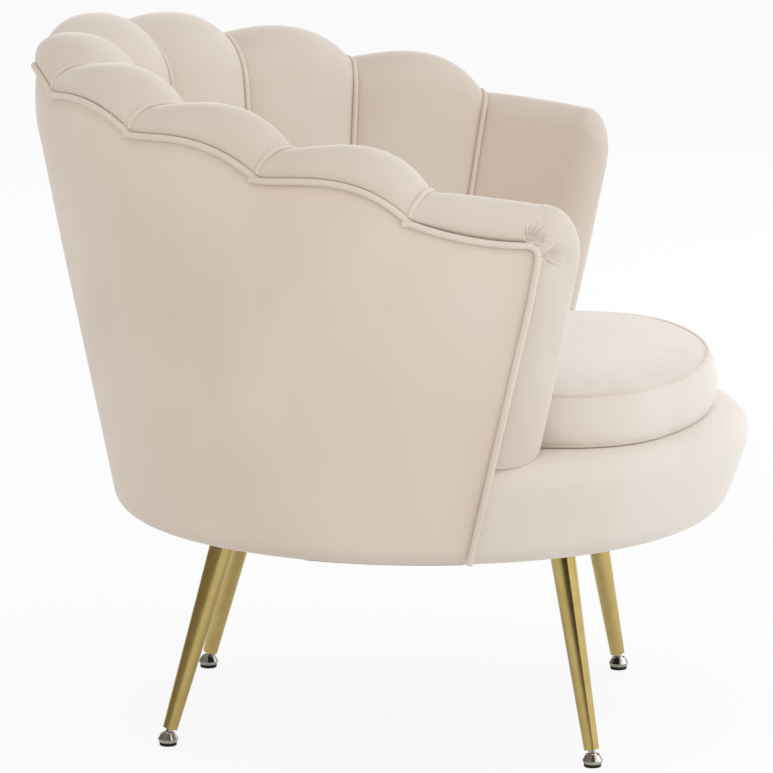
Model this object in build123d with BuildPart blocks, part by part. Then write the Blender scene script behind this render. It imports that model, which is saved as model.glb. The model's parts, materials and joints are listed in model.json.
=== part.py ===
from math import cos, degrees, hypot, radians, sin, sqrt
import os

from build123d import *

# Shell-backed tub armchair: a flared oval seat base on four splayed legs, a bent back whose ten padded
# channels fan out to a scalloped rolled rim, and a loose seat cushion.
# Millimetres, +Z up, the chair faces -Y, origin on the floor under the middle of its box.

# Oval outline of the upholstery, at its underside and near the rim. The wall runs straight between.
base_underside = 237
base_half_width = 300
base_front = 362
base_back = 305
rim_level = 695
rim_half_width = 372
rim_front = 522
rim_back = 396
platform_level = 357

# Back: ten channels, counted round from the middle of the back, angles in degrees
channels_per_side = 5
spans_per_channel = 6
channel_step = 22.5
channel_foot_share = 0.954
arm_edge_angle = 109.4
arm_tip_angle = 115.2
tip_foot_lead = 1.6

# Welt line along the outside of the rim: level at the sides, rise towards the back, height of a scallop
welt_side_level = 621
welt_back_rise = 103
scallop_at_back = 13
scallop_at_sides = 23
scallop_lean = 1.3
arm_welt_sag = 6
arm_edge_rise = 9
arm_tip_drop = 62
arm_roll_lift = 5

# Layers of the back, from the outside in
cover_thickness = 6
board_thickness = 12
rim_curl = 14
rim_curl_height = 75
seam_thickness = 60
channel_crown = 16
back_fullness = 40
channel_foot_ease = 6
roll_at_seam = 23
roll_at_crown = 29
roll_lift = 1
arm_thickness = 70
tip_inset = 2
tip_tuck = 4
tip_share = 0.24
layer_gap = 0.5
seat_gap = 0.4
seam_gap = 0.6

# Edges of the covers
base_top_radius = 20
base_bottom_radius = 23
under_lip = 26

# Piping
rim_welt_radius = 3.5
channel_welt_radius = 3
cushion_welt_radius = 3.2
rim_welt_gap = 1.3
welt_gap = 0.4
channel_welt_stand = 4.3
run_overlap = 0.06

# Seat base carcass and deck
ply_thickness = 15
hoop_thickness = 18
deck_rim_width = 60
strap_width = 50
strap_thickness = 2
strap_pitch = 80
straps_each_way = 5
strap_landing = 30
deck_pad_thickness = 8
dust_cover_thickness = 1.5
dust_cover_margin = 2

# Loose seat cushion
cushion_side_clearance = 15.9
cushion_back_clearance = 22.8
cushion_setback = 47
cushion_side_start = 82
cushion_front_radius = 330
cushion_corner_radius = 130
cushion_back_flattening = 15
cushion_side_height = 57
cushion_crown = 14
crown_reaches = (0, 18, 56, 105)
crown_rises = (0, 0.4, 0.8, 1)
cushion_lean = 6
cushion_side_bulge = 3
ticking_thickness = 2
zip_height = 14
zip_thickness = 1.5
zip_half_length = 120
pull_length = 22
pull_width = 7
pull_thickness = 1.6

# Legs and levelling glides
front_foot_side_inset = 89
front_foot_inset = 121
back_foot_side_inset = 129
back_foot_inset = 75
leg_splay = 0.125
front_leg_rake = 0.165
back_leg_rake = 0.275
leg_top_radius = 14
leg_end_radius = 8.2
leg_wall = 1.5
plate_size = 54
plate_thickness = 3
plate_corner = 8
screw_pitch = 40
screw_radius = 2
screw_length = 15
screw_head_radius = 4
screw_head_height = 2.2
hole_gap = 0.15
glide_pad_radius = 9.5
glide_pad_height = 4
cup_radius = 11.2
cup_foot_radius = 10
cup_top_radius = 7.6
cup_waist = 3.5
cup_height = 10
cup_floor = 1
cup_bore_radius = 6.4
ball_radius = 6
glide_stem_radius = 4
stem_reach = 12
ball_to_leg = 8
nut_length = 12
fit_gap = 0.1

# Levels through the seat base, from the underside up
carcass_bottom = base_underside + cover_thickness + layer_gap
hoop_bottom = carcass_bottom + ply_thickness
deck_pad_top = platform_level - cover_thickness - layer_gap
strap_top = deck_pad_top - deck_pad_thickness - layer_gap
deck_top = strap_top - 2 * strap_thickness
deck_bottom = deck_top - ply_thickness
plate_top = carcass_bottom - dust_cover_thickness
plate_bottom = plate_top - plate_thickness
ball_level = glide_pad_height + cup_floor + ball_radius + fit_gap

# Depths through the back, from the outside in
board_outside = cover_thickness + layer_gap
board_inside = board_outside + board_thickness
pad_back = board_inside + layer_gap
carcass_inset = pad_back + layer_gap

half_turn = 180
quarter = sqrt(0.5)
channel_shares = [n / spans_per_channel for n in range(spans_per_channel + 1)]

os.makedirs("parts", exist_ok=True)


def outline_at(level):
    """Half width, half depth and middle of the oval outline at a level."""
    share = (level - base_underside) / (rim_level - base_underside)
    half_width = base_half_width + share * (rim_half_width - base_half_width)
    front = base_front + share * (rim_front - base_front)
    back = base_back + share * (rim_back - base_back)
    return half_width, (front + back) / 2, (back - front) / 2


def point_on_outline(level, angle):
    half_width, half_depth, middle = outline_at(level)
    turn = radians(angle)
    return Vector(half_width * sin(turn), middle + half_depth * cos(turn), level)


def foot_angle(angle):
    """Angle at the wall's foot: drawn in from that at the rim, and ahead of it on an arm's rounded front."""
    ahead = max(0, abs(angle) - arm_edge_angle)
    reach = channel_foot_share * (abs(angle) - ahead) + tip_foot_lead * ahead
    return reach if angle > 0 else -reach


def wall_plane(angle):
    """Plane square to the wall: x points out of the wall and y runs up along it, from the underside."""
    foot = point_on_outline(base_underside, foot_angle(angle))
    head = point_on_outline(rim_level, angle)
    up = (head - foot).normalized()
    half_width, half_depth, _ = outline_at(rim_level)
    out = Vector(sin(radians(angle)) / half_width, cos(radians(angle)) / half_depth, 0).normalized()
    out = (out - up * out.dot(up)).normalized()
    return Plane(origin=foot, x_dir=out, z_dir=out.cross(up))


def rise(plane, level, offset=0):
    """Distance up the wall at which a point at an offset out of the wall is at a level."""
    return (level - base_underside - offset * plane.x_dir.Z) / plane.y_dir.Z


def swell(share):
    """Full in the middle of a channel and nothing at its seams."""
    return 1 - (2 * share - 1) ** 2


def back_depth(angle):
    """Extra depth of the padding, which is fullest in the middle of the back and none at the sides."""
    return back_fullness * max(0, cos(radians(angle)))


def welt_level(angle, share):
    """Level of the welt line outside the rim: scallops between the seams and a slight sag on the arms."""
    plain = welt_side_level + welt_back_rise * cos(radians(angle))
    if abs(angle) > channel_step * (channels_per_side - 1):
        return plain + arm_edge_rise * min(1, share) - arm_welt_sag * swell(min(1, share))
    scallop = scallop_at_sides + (scallop_at_back - scallop_at_sides) * cos(radians(angle))
    return plain + scallop * swell(max(0, share) ** scallop_lean)


def oval(level, inset):
    """Oval outline at a level, drawn in by an inset."""
    half_width, half_depth, middle = outline_at(level)
    with BuildSketch(Plane.XY.offset(level)) as drawn:
        with Locations((0, middle)):
            Ellipse(half_width - inset, half_depth - inset)
    return drawn.sketch


arm_planes = [wall_plane(side * arm_edge_angle) for side in (1, -1)]


def keep_front():
    """Keeps the front of the part being made, between the front edges of the two arms."""
    for plane in arm_planes:
        ahead = plane.z_dir if plane.z_dir.Y < 0 else plane.z_dir * -1
        split(bisect_by=Plane(origin=plane.origin + ahead * layer_gap, z_dir=ahead), keep=Keep.TOP)


# Seat base: an oval plywood board on edge hoops, a deck ring above them and webbing across the deck
leg_tops = {}
for end, foot_x, foot_y, rake in (
    ("front", base_half_width - front_foot_side_inset, front_foot_inset - base_front, -front_leg_rake),
    ("back", base_half_width - back_foot_side_inset, base_back - back_foot_inset, back_leg_rake),
):
    for side_name, side in (("right", 1), ("left", -1)):
        run = plate_bottom - ball_level
        ball = Vector(side * foot_x, foot_y, ball_level)
        top = Vector(side * (foot_x - leg_splay * run), foot_y - rake * run, plate_bottom)
        leg_tops[f"{end}_{side_name}"] = (ball, top)

plate_places = [Location((top.X, top.Y, 0)) for _, top in leg_tops.values()]

with BuildPart() as base_board:
    with BuildSketch(Plane.XY.offset(carcass_bottom)):
        add(oval(carcass_bottom, max(carcass_inset, base_bottom_radius) + layer_gap))
        with Locations(*plate_places):
            with GridLocations(screw_pitch, screw_pitch, 2, 2):
                Circle(screw_radius + hole_gap, mode=Mode.SUBTRACT)
    extrude(amount=ply_thickness)
base_board.part.label = "base_board"
export_step(base_board.part, "parts/base_board.step")

with BuildPart() as base_hoop:
    loft([oval(hoop_bottom, carcass_inset), oval(deck_bottom, carcass_inset)])
    loft(
        [oval(hoop_bottom, carcass_inset + hoop_thickness), oval(deck_bottom, carcass_inset + hoop_thickness)],
        mode=Mode.SUBTRACT,
    )
base_hoop.part.label = "base_hoop"
export_step(base_hoop.part, "parts/base_hoop.step")

with BuildPart() as deck_ring:
    with BuildSketch(Plane.XY.offset(deck_bottom)):
        add(oval(deck_bottom, carcass_inset))
        add(oval(deck_bottom, carcass_inset + deck_rim_width), mode=Mode.SUBTRACT)
    extrude(amount=ply_thickness)
deck_ring.part.label = "deck_ring"
export_step(deck_ring.part, "parts/deck_ring.step")

deck_half_width, deck_half_depth, deck_middle = outline_at(deck_bottom)
strap_half_width = deck_half_width - carcass_inset - strap_landing
strap_half_depth = deck_half_depth - carcass_inset - strap_landing
strap_offsets = [(n - (straps_each_way - 1) / 2) * strap_pitch for n in range(straps_each_way)]

with BuildPart() as webbing_lengthwise:
    with BuildSketch(Plane.XY.offset(deck_top)):
        for offset_x in strap_offsets:
            reach = strap_half_depth * sqrt(1 - (offset_x / strap_half_width) ** 2)
            with Locations((offset_x, deck_middle)):
                Rectangle(strap_width, 2 * reach)
    extrude(amount=strap_thickness)
webbing_lengthwise.part.label = "webbing_lengthwise"
export_step(webbing_lengthwise.part, "parts/webbing_lengthwise.step")

with BuildPart() as webbing_crosswise:
    with BuildSketch(Plane.XY.offset(deck_top + strap_thickness)):
        for offset_y in strap_offsets:
            reach = strap_half_width * sqrt(1 - (offset_y / strap_half_depth) ** 2)
            with Locations((0, deck_middle + offset_y)):
                Rectangle(2 * reach, strap_width)
    extrude(amount=strap_thickness)
webbing_crosswise.part.label = "webbing_crosswise"
export_step(webbing_crosswise.part, "parts/webbing_crosswise.step")

with BuildPart() as deck_pad:
    with BuildSketch(Plane.XY.offset(strap_top + layer_gap / 2)):
        add(oval(strap_top, carcass_inset + base_top_radius))
    extrude(amount=deck_pad_thickness)
deck_pad.part.label = "deck_pad"
export_step(deck_pad.part, "parts/deck_pad.step")

with BuildPart() as dust_cover:
    with BuildSketch(Plane.XY.offset(plate_top)):
        add(oval(base_underside, under_lip + dust_cover_margin))
        with Locations(*plate_places):
            with GridLocations(screw_pitch, screw_pitch, 2, 2):
                Circle(screw_radius + hole_gap, mode=Mode.SUBTRACT)
    extrude(amount=dust_cover_thickness)
dust_cover.part.label = "dust_cover"
export_step(dust_cover.part, "parts/dust_cover.step")

# Cover of the base: a padded front band with rounded edges, tucked under the board, and the platform
shoulder_level = platform_level - base_top_radius
with BuildPart() as base_cover:
    loft([oval(base_underside, 0), oval(platform_level, 0)])
    fillet(base_cover.faces().sort_by(Axis.Z)[-1].edges(), base_top_radius)
    fillet(base_cover.faces().sort_by(Axis.Z)[0].edges(), base_bottom_radius)
    cavity = [
        oval(base_underside + cover_thickness, base_bottom_radius),
        oval(base_underside + base_bottom_radius, cover_thickness),
        oval(shoulder_level, cover_thickness),
        oval(platform_level - cover_thickness, base_top_radius),
    ]
    loft(cavity, ruled=True, mode=Mode.SUBTRACT)
    with BuildSketch(Plane.XY.offset(base_underside)):
        add(oval(base_underside, under_lip))
    extrude(amount=cover_thickness, mode=Mode.SUBTRACT)
    keep_front()
    with BuildSketch(Plane.XY.offset(platform_level - cover_thickness)):
        add(oval(platform_level - cover_thickness, base_top_radius))
    extrude(amount=cover_thickness)
base_cover.part.label = "base_cover"
export_step(base_cover.part, "parts/base_cover.step")

with BuildPart() as front_pad:
    pad_bottom = base_underside + base_bottom_radius
    loft([oval(pad_bottom, cover_thickness + layer_gap), oval(shoulder_level, cover_thickness + layer_gap)])
    loft([oval(pad_bottom, pad_back), oval(shoulder_level, pad_back)], mode=Mode.SUBTRACT)
    keep_front()
front_pad.part.label = "front_pad"
export_step(front_pad.part, "parts/front_pad.step")


# Back shell: a bent board with a scalloped top edge, and the cover over its outside
def channel_sections(index, last_angle):
    """Angles and shares of the sections through one channel, counted from the middle of the back."""
    start = index * channel_step
    return [(start + share * (last_angle - start), share) for share in channel_shares]


def channel_end(index):
    """Angle where a channel's board and outside cover end."""
    if index == channels_per_side - 1:
        return arm_edge_angle
    return (index + 1) * channel_step


def curl(start_offset, start, end):
    """Arc up the wall that curls in towards the rim."""
    half = (start + end) / 2
    ThreePointArc((start_offset, start), (start_offset - rim_curl / 4, half), (start_offset - rim_curl, end))


def uncurl(end_offset, start, end):
    """The same arc, followed down the wall."""
    half = (start + end) / 2
    ThreePointArc((end_offset - rim_curl, start), (end_offset - rim_curl / 4, half), (end_offset, end))


def board_section(side, angle, share):
    plane = wall_plane(side * angle)
    top = rise(plane, welt_level(angle, share))
    bend_start = top - rim_curl_height
    bottom_level = base_underside + base_bottom_radius + layer_gap
    with BuildSketch(plane) as section:
        with BuildLine():
            uncurl(-board_outside, top, bend_start)
            Polyline(
                (-board_outside, bend_start),
                (-board_outside, rise(plane, bottom_level, -board_outside)),
                (-board_inside, rise(plane, bottom_level, -board_inside)),
                (-board_inside, bend_start),
            )
            curl(-board_inside, bend_start, top)
            Line((-board_inside - rim_curl, top), (-board_outside - rim_curl, top))
        make_face()
    return section.sketch


def cover_section(side, angle, share):
    """Outside cover: down the wall, round the bottom edge and under the board as a lip."""
    plane = wall_plane(side * angle)
    top = rise(plane, welt_level(angle, share))
    bend_start = top - rim_curl_height
    thick = cover_thickness
    turn = base_bottom_radius
    bend = turn * (1 - quarter)
    inner_bend = thick + (turn - thick) * (1 - quarter)
    under = base_underside + thick
    with BuildSketch(plane) as section:
        with BuildLine():
            uncurl(0, top, bend_start)
            Line((0, bend_start), (0, rise(plane, base_underside + turn)))
            ThreePointArc(
                (0, rise(plane, base_underside + turn)),
                (-bend, rise(plane, base_underside + bend, -bend)),
                (-turn, rise(plane, base_underside, -turn)),
            )
            Polyline(
                (-turn, rise(plane, base_underside, -turn)),
                (-under_lip, rise(plane, base_underside, -under_lip)),
                (-under_lip, rise(plane, under, -under_lip)),
                (-turn, rise(plane, under, -turn)),
            )
            ThreePointArc(
                (-turn, rise(plane, under, -turn)),
                (-inner_bend, rise(plane, base_underside + inner_bend, -inner_bend)),
                (-thick, rise(plane, base_underside + turn, -thick)),
            )
            Line((-thick, rise(plane, base_underside + turn, -thick)), (-thick, bend_start))
            curl(-thick, bend_start, top)
            Line((-thick - rim_curl, top), (-rim_curl, top))
        make_face()
    return section.sketch


with BuildPart() as shell_board:
    for side in (1, -1):
        for index in range(channels_per_side):
            sections = channel_sections(index, channel_end(index))
            loft([board_section(side, a, s) for a, s in sections])
shell_board.part.label = "shell_board"
export_step(shell_board.part, "parts/shell_board.step")

with BuildPart() as outside_cover:
    for side in (1, -1):
        for index in range(channels_per_side):
            sections = channel_sections(index, channel_end(index))
            loft([cover_section(side, a, s) for a, s in sections])
outside_cover.part.label = "outside_cover"
export_step(outside_cover.part, "parts/outside_cover.step")


# Padded channels: each stands on the platform against the board and rolls over the top edge to the welt
def roll_over(outer, top, inner):
    """Two arcs from the outside of the roll over its top to the inside."""
    ThreePointArc(outer, bulge_point(outer, top), top)
    ThreePointArc(top, bulge_point(inner, top), inner)


def bulge_point(end, top):
    """Point halfway round a quarter turn from the end of the roll to its top."""
    return (top[0] + (end[0] - top[0]) * quarter, end[1] + (top[1] - end[1]) * quarter)


def pad_section(side, angle, share, thickness, roll, lift):
    """Section of a pad: up the inside, over in a turn that is wider at the back, and down to the welt."""
    plane = wall_plane(side * angle)
    step = rise(plane, welt_level(angle, share)) + layer_gap
    bend_start = step - rim_curl_height
    foot_level = platform_level + seat_gap
    depth = thickness + back_depth(angle)
    foot_depth = depth - channel_foot_ease
    level = step + lift
    inner_level = level - back_depth(angle)
    with BuildSketch(plane) as section:
        with BuildLine():
            Polyline(
                (-depth, inner_level),
                (-foot_depth, rise(plane, foot_level, -foot_depth)),
                (-pad_back, rise(plane, foot_level, -pad_back)),
                (-pad_back, bend_start),
            )
            curl(-pad_back, bend_start, step)
            Line((-pad_back - rim_curl, step), (-rim_curl, step))
            roll_over((-rim_curl, step), (-rim_curl - roll, level + roll), (-depth, inner_level))
        make_face()
    return section.sketch


def tip_section(side, share):
    """Front of an arm: the roll narrows to a rounded tip and its top falls away."""
    angle = nose_angle + share * (arm_tip_angle - nose_angle)
    plane = wall_plane(side * angle)
    narrow = sqrt(1 - (1 - tip_share**2) * share**2)
    full = arm_thickness - tip_inset
    side_face = -tip_inset - full * (1 - narrow) / 2
    inner = side_face - full * narrow
    outer = side_face - rim_curl * narrow
    middle = (outer + inner) / 2
    low = side_face - tip_tuck * narrow
    foot = inner + channel_foot_ease * narrow
    drop = arm_tip_drop * (1 - sqrt(1 - share**2))
    step = rise(plane, welt_level(arm_edge_angle, 1)) + layer_gap - drop
    top = step + roll_lift + arm_roll_lift + roll_at_crown
    bend_start = step - rim_curl_height
    rest_level = platform_level + seat_gap
    level = top - (outer - inner) / 2
    with BuildSketch(plane) as section:
        with BuildLine():
            Polyline(
                (inner, level),
                (foot, rise(plane, rest_level, foot)),
                (low, rise(plane, rest_level, low)),
                (side_face, bend_start),
            )
            ThreePointArc(
                (side_face, bend_start),
                ((3 * side_face + outer) / 4, (bend_start + step) / 2),
                (outer, step),
            )
            roll_over((outer, step), (middle, top), (inner, level))
        make_face()
    return section.sketch


nose_angle = arm_edge_angle + degrees(layer_gap / rim_half_width)
seam_angle = degrees(seam_gap / 2 / rim_half_width)
tip_shares = [sin(radians(half_turn / 2 * share)) for share in channel_shares]


def channel_section(side, angle, share):
    """Section of a channel of the back: drawn in at its seams and full between them."""
    fullness = swell(share)
    thickness = seam_thickness + channel_crown * fullness
    roll = roll_at_seam + (roll_at_crown - roll_at_seam) * fullness
    return pad_section(side, angle, share, thickness, roll, roll_lift)


def arm_section(side, angle, share):
    """Section of an arm's channel, which stays full towards the front."""
    fullness = sqrt(share)
    thickness = seam_thickness + (arm_thickness - seam_thickness) * fullness
    roll = roll_at_seam + (roll_at_crown - roll_at_seam) * fullness
    lift = roll_lift + arm_roll_lift * share + arm_welt_sag * swell(share)
    return pad_section(side, angle, share, thickness, roll, lift)


for side_name, side in (("right", 1), ("left", -1)):
    for index in range(channels_per_side):
        with BuildPart() as channel:
            if index < channels_per_side - 1:
                sections = channel_sections(index, channel_end(index))
                sections[0] = (sections[0][0] + seam_angle, 0)
                sections[-1] = (sections[-1][0] - seam_angle, 1)
                loft([channel_section(side, a, s) for a, s in sections])
            else:
                sections = channel_sections(index, nose_angle)
                sections[0] = (sections[0][0] + seam_angle, 0)
                loft([arm_section(side, a, s) for a, s in sections])
                loft([tip_section(side, share) for share in tip_shares])
        name = f"channel_{side_name}_{index + 1}"
        channel.part.label = name
        export_step(channel.part, f"parts/{name}.step")


# Piping: a cord in every channel seam, and one along the scalloped rim and down the arms' front edges
def seam_angles():
    inner = [side * n * channel_step for side in (1, -1) for n in range(1, channels_per_side)]
    return [0] + inner


with BuildPart() as channel_piping:
    for angle in seam_angles():
        plane = wall_plane(angle)
        level = rise(plane, welt_level(angle, 0)) + layer_gap + roll_lift
        inner_level = level - back_depth(angle)
        foot_depth = seam_thickness + back_depth(angle) - channel_foot_ease
        foot = rise(plane, platform_level + seat_gap + channel_welt_radius, -foot_depth)
        middle = -(rim_curl + seam_thickness) / 2
        ring = (seam_thickness - rim_curl) / 2 + channel_welt_stand
        inner_ring = ring + back_depth(angle)
        with BuildLine(plane) as seam_path:
            Line((-foot_depth - channel_welt_stand, foot), (middle - inner_ring, inner_level))
            CenterArc((middle, inner_level), inner_ring, half_turn, -half_turn / 2)
            CenterArc((middle, level), ring, half_turn / 2, -half_turn / 4)
        start = seam_path.line @ 0
        with BuildSketch(Plane(origin=start, z_dir=seam_path.line % 0)):
            Circle(channel_welt_radius)
        sweep(path=seam_path.wire())
channel_piping.part.label = "channel_piping"
export_step(channel_piping.part, "parts/channel_piping.step")


def rim_point(side, angle, share):
    plane = wall_plane(side * angle)
    stand = rim_welt_radius + rim_welt_gap - rim_curl
    return plane.from_local_coords((stand, rise(plane, welt_level(angle, share)), 0))


def keep_beyond(angle, towards):
    """Keeps the part of a run on one side of the plane square to the wall at an angle."""
    plane = wall_plane(angle)
    ahead = plane.z_dir if plane.z_dir.dot(towards - plane.origin) > 0 else plane.z_dir * -1
    split(bisect_by=Plane(origin=plane.origin + ahead * fit_gap, z_dir=ahead), keep=Keep.TOP)


with BuildPart() as rim_welt:
    runs = []
    for side in (1, -1):
        for index in range(channels_per_side):
            start = index * channel_step
            width = channel_end(index) - start
            shares = [-run_overlap] + channel_shares[1:-1] + [1 + run_overlap]
            points = [rim_point(side, start + share * width, share) for share in shares]
            with BuildPart(mode=Mode.PRIVATE) as run:
                with BuildLine() as path:
                    Spline(*points)
                with BuildSketch(Plane(origin=path.line @ 0, z_dir=path.line % 0)):
                    Circle(rim_welt_radius)
                sweep(path=path.line)
                keep_beyond(side * start, points[1])
                keep_beyond(side * (start + width), points[1])
            runs.append(run.part)
        arm_plane = wall_plane(side * arm_edge_angle)
        stand = rim_welt_radius + rim_welt_gap
        low = rise(arm_plane, base_underside + base_bottom_radius)
        high = rise(arm_plane, welt_level(arm_edge_angle, 1))
        end = arm_plane.from_local_coords((0, high - stand, 0))
        with BuildPart(mode=Mode.PRIVATE) as run:
            with BuildLine(arm_plane) as path:
                Line((stand, low), (stand, high - rim_curl_height))
                curl(stand, high - rim_curl_height, high)
            with BuildSketch(Plane(origin=path.line @ 0, z_dir=path.line % 0)):
                Circle(rim_welt_radius)
            sweep(path=path.wire())
            split(bisect_by=Plane(origin=end, z_dir=arm_plane.y_dir), keep=Keep.BOTTOM)
        runs.append(run.part)
    add(runs)
rim_welt.part.label = "rim_welt"
export_step(rim_welt.part, "parts/rim_welt.step")


# Loose seat cushion: a foam core in a box cover, piped along both edges, with a zip across the back
seat_half_width, seat_half_depth, seat_middle = outline_at(platform_level)
channel_foot_depth = seam_thickness + channel_crown - channel_foot_ease
cushion_half_width = seat_half_width - channel_foot_depth - cushion_side_clearance
cushion_back = seat_middle + seat_half_depth - channel_foot_depth - back_fullness - cushion_back_clearance
cushion_front = seat_half_depth - seat_middle - cushion_setback
cushion_back_radius = cushion_half_width - cushion_back_flattening
cushion_bottom = platform_level + seat_gap
cushion_seam = cushion_bottom + cushion_side_height
front_centre = cushion_front_radius - cushion_front
corner_x = cushion_half_width - cushion_corner_radius
corner_y = front_centre - sqrt((cushion_front_radius - cushion_corner_radius) ** 2 - corner_x**2)
back_centre = cushion_back - cushion_back_radius
back_lift = back_centre + cushion_side_start
side_radius = (cushion_half_width**2 + back_lift**2 - cushion_back_radius**2) / (
    2 * (cushion_half_width - cushion_back_radius)
)
side_x = cushion_half_width - side_radius


def along(centre, towards, reach):
    """Point at a reach from a centre, in the direction of another point, or away from it where negative."""
    step_x = towards[0] - centre[0]
    step_y = towards[1] - centre[1]
    size = hypot(step_x, step_y)
    return (centre[0] + reach * step_x / size, centre[1] + reach * step_y / size)


def cushion_lines(inset):
    """Half outline of the cushion, on +X, from the front to the back: front, corner, side and back arcs."""
    front_reach = cushion_front_radius - inset
    corner_reach = cushion_corner_radius - inset
    side_reach = side_radius - inset
    back_reach = cushion_back_radius - inset
    corner = (corner_x, corner_y)
    front_end = along((0, front_centre), corner, front_reach)
    back_start = along((side_x, -cushion_side_start), (0, back_centre), side_reach)
    half_front = along((0, front_centre), (front_end[0] / 2, front_centre - front_reach), front_reach)
    corner_mid = along(corner, (front_end[0] + corner_reach, corner_y - corner_reach / 2), corner_reach)
    side_mid = along((side_x, -cushion_side_start), (back_start[0] + inset, back_start[1] / 2), side_reach)
    back_mid = along((0, back_centre), (back_start[0] / 2, back_centre + back_reach), back_reach)
    ThreePointArc((0, front_centre - front_reach), half_front, front_end)
    ThreePointArc(front_end, corner_mid, (cushion_half_width - inset, corner_y))
    Line((cushion_half_width - inset, corner_y), (cushion_half_width - inset, -cushion_side_start))
    ThreePointArc((cushion_half_width - inset, -cushion_side_start), side_mid, back_start)
    ThreePointArc(back_start, back_mid, (0, back_centre + back_reach))


def cushion_outline(level, inset):
    with BuildSketch(Plane.XY.offset(level)) as drawn:
        with BuildLine():
            cushion_lines(inset)
            mirror(about=Plane.YZ)
        make_face()
    return drawn.sketch


def crown(bottom, inset, height):
    """Sections of a crowned top that starts at a level and an inset."""
    steps = zip(crown_reaches, crown_rises)
    return [cushion_outline(bottom + height * share, inset + reach) for reach, share in steps]


def ring_sections(inset):
    """Bulging side of the cushion, between its two seams."""
    low = cushion_bottom + ticking_thickness + fit_gap
    high = cushion_seam - fit_gap
    return [
        cushion_outline(low, inset),
        cushion_outline((low + high) / 2, inset + cushion_lean / 2 - cushion_side_bulge),
        cushion_outline(high, inset + cushion_lean),
    ]


with BuildPart() as cushion_top:
    loft(crown(cushion_seam, cushion_lean, cushion_crown + ticking_thickness))
    loft(crown(cushion_seam, cushion_lean + ticking_thickness, cushion_crown), mode=Mode.SUBTRACT)
cushion_top.part.label = "cushion_top"
export_step(cushion_top.part, "parts/cushion_top.step")

with BuildPart() as cushion_side:
    loft(ring_sections(0))
    loft(ring_sections(ticking_thickness), mode=Mode.SUBTRACT)
cushion_side.part.label = "cushion_side"
export_step(cushion_side.part, "parts/cushion_side.step")

with BuildPart() as cushion_bottom_panel:
    with BuildSketch(Plane.XY.offset(cushion_bottom)):
        add(cushion_outline(cushion_bottom, 0))
    extrude(amount=ticking_thickness)
cushion_bottom_panel.part.label = "cushion_bottom"
export_step(cushion_bottom_panel.part, "parts/cushion_bottom.step")

with BuildPart() as cushion_foam:
    core_inset = ticking_thickness + layer_gap
    core_bottom = cushion_bottom + ticking_thickness + fit_gap
    loft([cushion_outline(core_bottom, core_inset), cushion_outline(cushion_seam, core_inset + cushion_lean)])
    loft(crown(cushion_seam, core_inset + cushion_lean, cushion_crown - layer_gap))
cushion_foam.part.label = "cushion_foam"
export_step(cushion_foam.part, "parts/cushion_foam.step")

welt_stand = cushion_welt_radius + welt_gap
for name, level, inset in (
    ("cushion_top_welt", cushion_seam, cushion_lean - welt_stand),
    ("cushion_bottom_welt", cushion_bottom + cushion_welt_radius + fit_gap, -welt_stand),
):
    with BuildPart() as cushion_welt:
        with BuildLine(Plane.XY.offset(level)) as path:
            cushion_lines(inset)
            mirror(about=Plane.YZ)
        with BuildSketch(Plane(origin=(0, inset - cushion_front, level), z_dir=(1, 0, 0))):
            Circle(cushion_welt_radius)
        sweep(path=path.wire())
    cushion_welt.part.label = name
    export_step(cushion_welt.part, f"parts/{name}.step")

zip_level = cushion_bottom + cushion_side_height / 2
zip_inside = cushion_back_radius + cushion_side_bulge / 3 + fit_gap
with BuildPart() as cushion_zip:
    with BuildSketch(Plane.XY.offset(zip_level - zip_height / 2)):
        with Locations((0, back_centre)):
            Circle(zip_inside + zip_thickness)
            Circle(zip_inside, mode=Mode.SUBTRACT)
        with Locations((0, back_centre + zip_inside)):
            Rectangle(2 * zip_half_length, 2 * zip_inside, mode=Mode.INTERSECT)
        with Locations((0, back_centre - zip_inside)):
            Rectangle(2 * zip_half_length, 2 * zip_inside, mode=Mode.SUBTRACT)
    extrude(amount=zip_height)
cushion_zip.part.label = "cushion_zip"
export_step(cushion_zip.part, "parts/cushion_zip.step")

pull_y = back_centre + zip_inside + zip_thickness + fit_gap
with BuildPart() as zip_pull:
    with BuildSketch(Plane.XZ.offset(-pull_y)):
        with Locations((0, zip_level - pull_length / 2 + pull_width / 2)):
            SlotOverall(pull_length, pull_width, rotation=90)
    extrude(amount=-pull_thickness)
zip_pull.part.label = "zip_pull"
export_step(zip_pull.part, "parts/zip_pull.step")

# Legs: tapered metal tubes on square plates screwed up into the board, each with a levelling glide
with BuildPart() as plate_screws:
    with Locations(*plate_places):
        with GridLocations(screw_pitch, screw_pitch, 2, 2):
            with Locations((0, 0, plate_bottom)):
                Cylinder(screw_radius, screw_length, align=(Align.CENTER, Align.CENTER, Align.MIN))
                Cylinder(
                    screw_head_radius, screw_head_height, align=(Align.CENTER, Align.CENTER, Align.MAX)
                )
plate_screws.part.label = "plate_screws"
export_step(plate_screws.part, "parts/plate_screws.step")

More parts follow.
